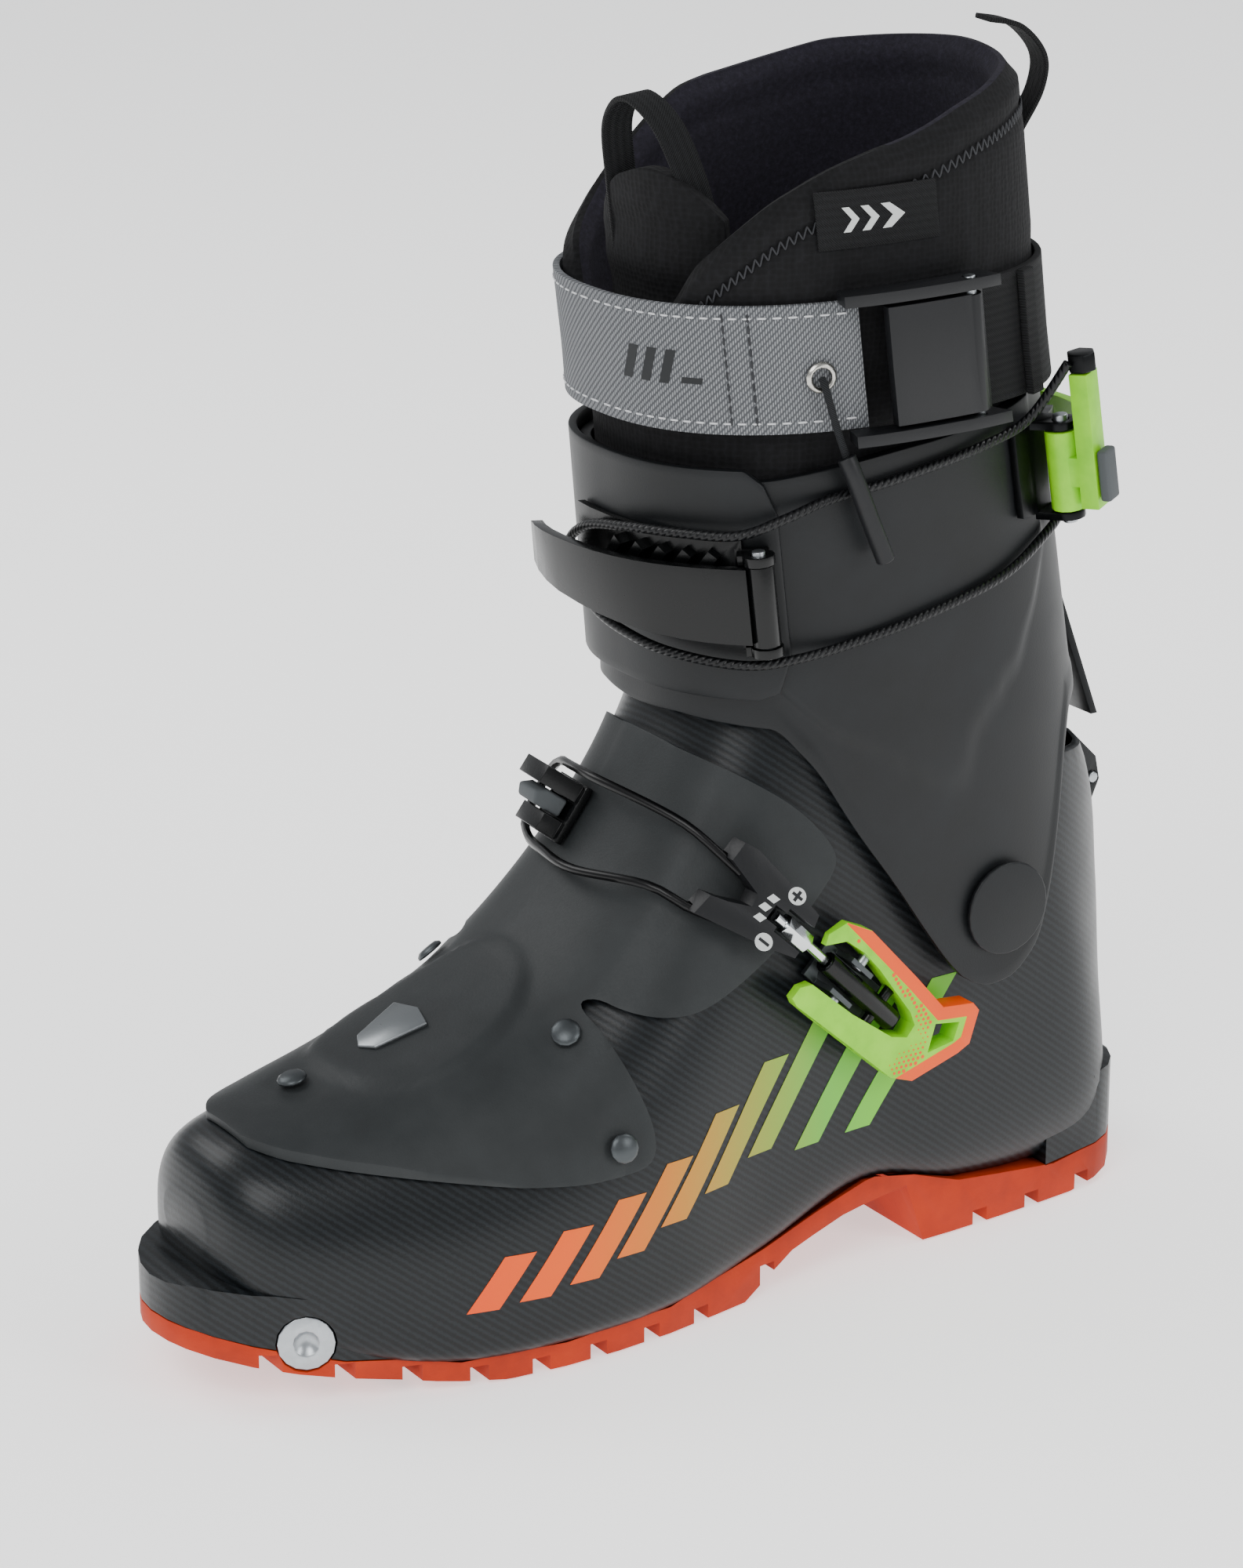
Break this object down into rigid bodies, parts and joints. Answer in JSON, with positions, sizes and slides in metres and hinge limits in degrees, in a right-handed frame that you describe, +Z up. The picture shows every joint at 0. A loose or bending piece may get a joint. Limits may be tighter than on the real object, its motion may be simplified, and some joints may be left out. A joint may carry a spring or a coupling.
{
  "type": "alpine touring boot",
  "caption": "Left alpine touring ski boot: hinged cuff on a rigid shell with rubber sole, liner, two cable buckles, power strap and walk lock",
  "frame": {"origin": "on the ground, on the flat of a sole lug half way along the sole and on its centreline", "axes": "+Z up, toe towards -Y, outer (lateral) side of this left boot towards +X"},
  "size_m": [0.1159, 0.3001, 0.3302],
  "materials": {
    "carbon_nylon": "satin black moulded shell",
    "cuff_nylon": "dark grey moulded nylon",
    "cover_rubber": "soft grey overmould",
    "rubber_orange": "rust-orange tread rubber",
    "steel": "bare steel",
    "dark_metal": "black anodised",
    "alloy": "dull alloy",
    "black_gloss": "gloss black moulding",
    "lime": "lime coating",
    "cable": "black coated steel cable",
    "foam": "black liner mesh over foam",
    "board": "insole board",
    "webbing_grey": "grey twill webbing",
    "webbing_black": "black ribbed webbing",
    "cord": "black woven cord",
    "pad_grey": "grey rubber pad"
  },
  "bodies": {
    "boot": {"lower_shell": "carbon_nylon", "outsole": "rubber_orange", "toe_insert_outer": "steel", "toe_insert_inner": "steel", "heel_insert": "steel", "boot_board": "board", "liner_foot": "foam", "instep_cover": "cover_rubber", "cover_rivet_front": "alloy", "cover_rivet_upper_outer": "alloy", "cover_rivet_upper_inner": "alloy", "cover_rivet_lower_outer": "alloy", "cover_rivet_lower_inner": "alloy", "badge": "steel", "pivot_drum_outer": "alloy", "pivot_drum_inner": "alloy", "lock_catch": "cuff_nylon", "lock_catch_pin": "steel", "instep_rack": "black_gloss", "instep_rack_pad": "pad_grey", "buckle_base": "dark_metal", "buckle_pin_upper": "steel", "buckle_pin_lower": "steel", "yoke": "dark_metal", "lower_cable": "cable"},
    "cuff": {"cuff_shell": "cuff_nylon", "pivot_cover_outer": "cuff_nylon", "pivot_cover_inner": "cuff_nylon", "cuff_flap": "cuff_nylon", "front_rack": "black_gloss", "front_lever_pin": "steel", "rear_bracket": "dark_metal", "rear_lever_pin": "steel", "lock_bracket": "dark_metal", "lock_bar_pin": "steel", "upper_cable": "cable", "cable_anchor": "dark_metal", "grey_strap": "webbing_grey", "black_strap": "webbing_black", "strap_keeper": "webbing_black", "strap_buckle_frame": "black_gloss", "strap_buckle_pin": "steel", "strap_eyelet": "steel", "release_cord": "cord", "pull_tube": "black_gloss", "liner_shaft": "foam", "tongue": "foam", "tongue_loop": "webbing_black", "heel_loop": "webbing_black", "liner_patch": "webbing_black"},
    "front_lever": {"front_lever": "black_gloss"},
    "rear_lever": {"rear_lever": "lime", "lever_pad": "pad_grey", "cable_eye": "dark_metal"},
    "lock_bar": {"lock_bar": "dark_metal"},
    "strap_cam": {"strap_cam": "black_gloss"},
    "lower_lever": {"lower_lever": "lime"},
    "barrel": {"buckle_barrel": "dark_metal"},
    "adjuster": {"adjuster_rod": "steel"}
  },
  "joints": [
    {"name": "cuff_pivot", "type": "hinge", "parent": "boot", "child": "cuff", "pos_m": [0, 0.085, 0.098], "axis": [1, 0, 0], "range_deg": [-30, 8]},
    {"name": "front_lever_hinge", "type": "hinge", "parent": "cuff", "child": "front_lever", "pos_m": [0.04605, 0.00859, 0.1945], "axis": [-0.0315, -0.1033, 0.9942], "range_deg": [0, 120]},
    {"name": "rear_lever_hinge", "type": "hinge", "parent": "cuff", "child": "rear_lever", "pos_m": [0.04917, 0.10259, 0.217], "axis": [0.0254, 0.142, -0.9895], "range_deg": [0, 90], "deforming": ["upper_cable"]},
    {"name": "lock_bar_hinge", "type": "hinge", "parent": "cuff", "child": "lock_bar", "pos_m": [0, 0.12947, 0.196], "axis": [1, 0, 0], "range_deg": [0, 5]},
    {"name": "strap_cam_hinge", "type": "hinge", "parent": "cuff", "child": "strap_cam", "pos_m": [0.05414, 0.06793, 0.25425], "axis": [0, -0.124, 0.9923], "range_deg": [0, 75]},
    {"name": "lower_lever_hinge", "type": "hinge", "parent": "boot", "child": "lower_lever", "pos_m": [0.05156, 0.03279, 0.08821], "axis": [0, -0.7071, -0.7071], "range_deg": [0, 28], "deforming": ["lower_cable"]},
    {"name": "barrel_hinge", "type": "hinge", "parent": "lower_lever", "child": "barrel", "pos_m": [0.05156, 0.04234, 0.07866], "axis": [0, -0.7071, -0.7071], "range_deg": [-21, 0]},
    {"name": "adjuster_spin", "type": "hinge", "parent": "barrel", "child": "adjuster", "pos_m": [0.05156, 0.0335, 0.0875], "axis": [0, 0.7071, -0.7071], "range_deg": [-360, 360]}
  ],
  "couplings": [
    {"joint": "barrel_hinge", "follows": "lower_lever_hinge", "ratio": -0.723},
    {"joint": "lock_bar_hinge", "follows": "rear_lever_hinge", "ratio": 0.05555}
  ]
}
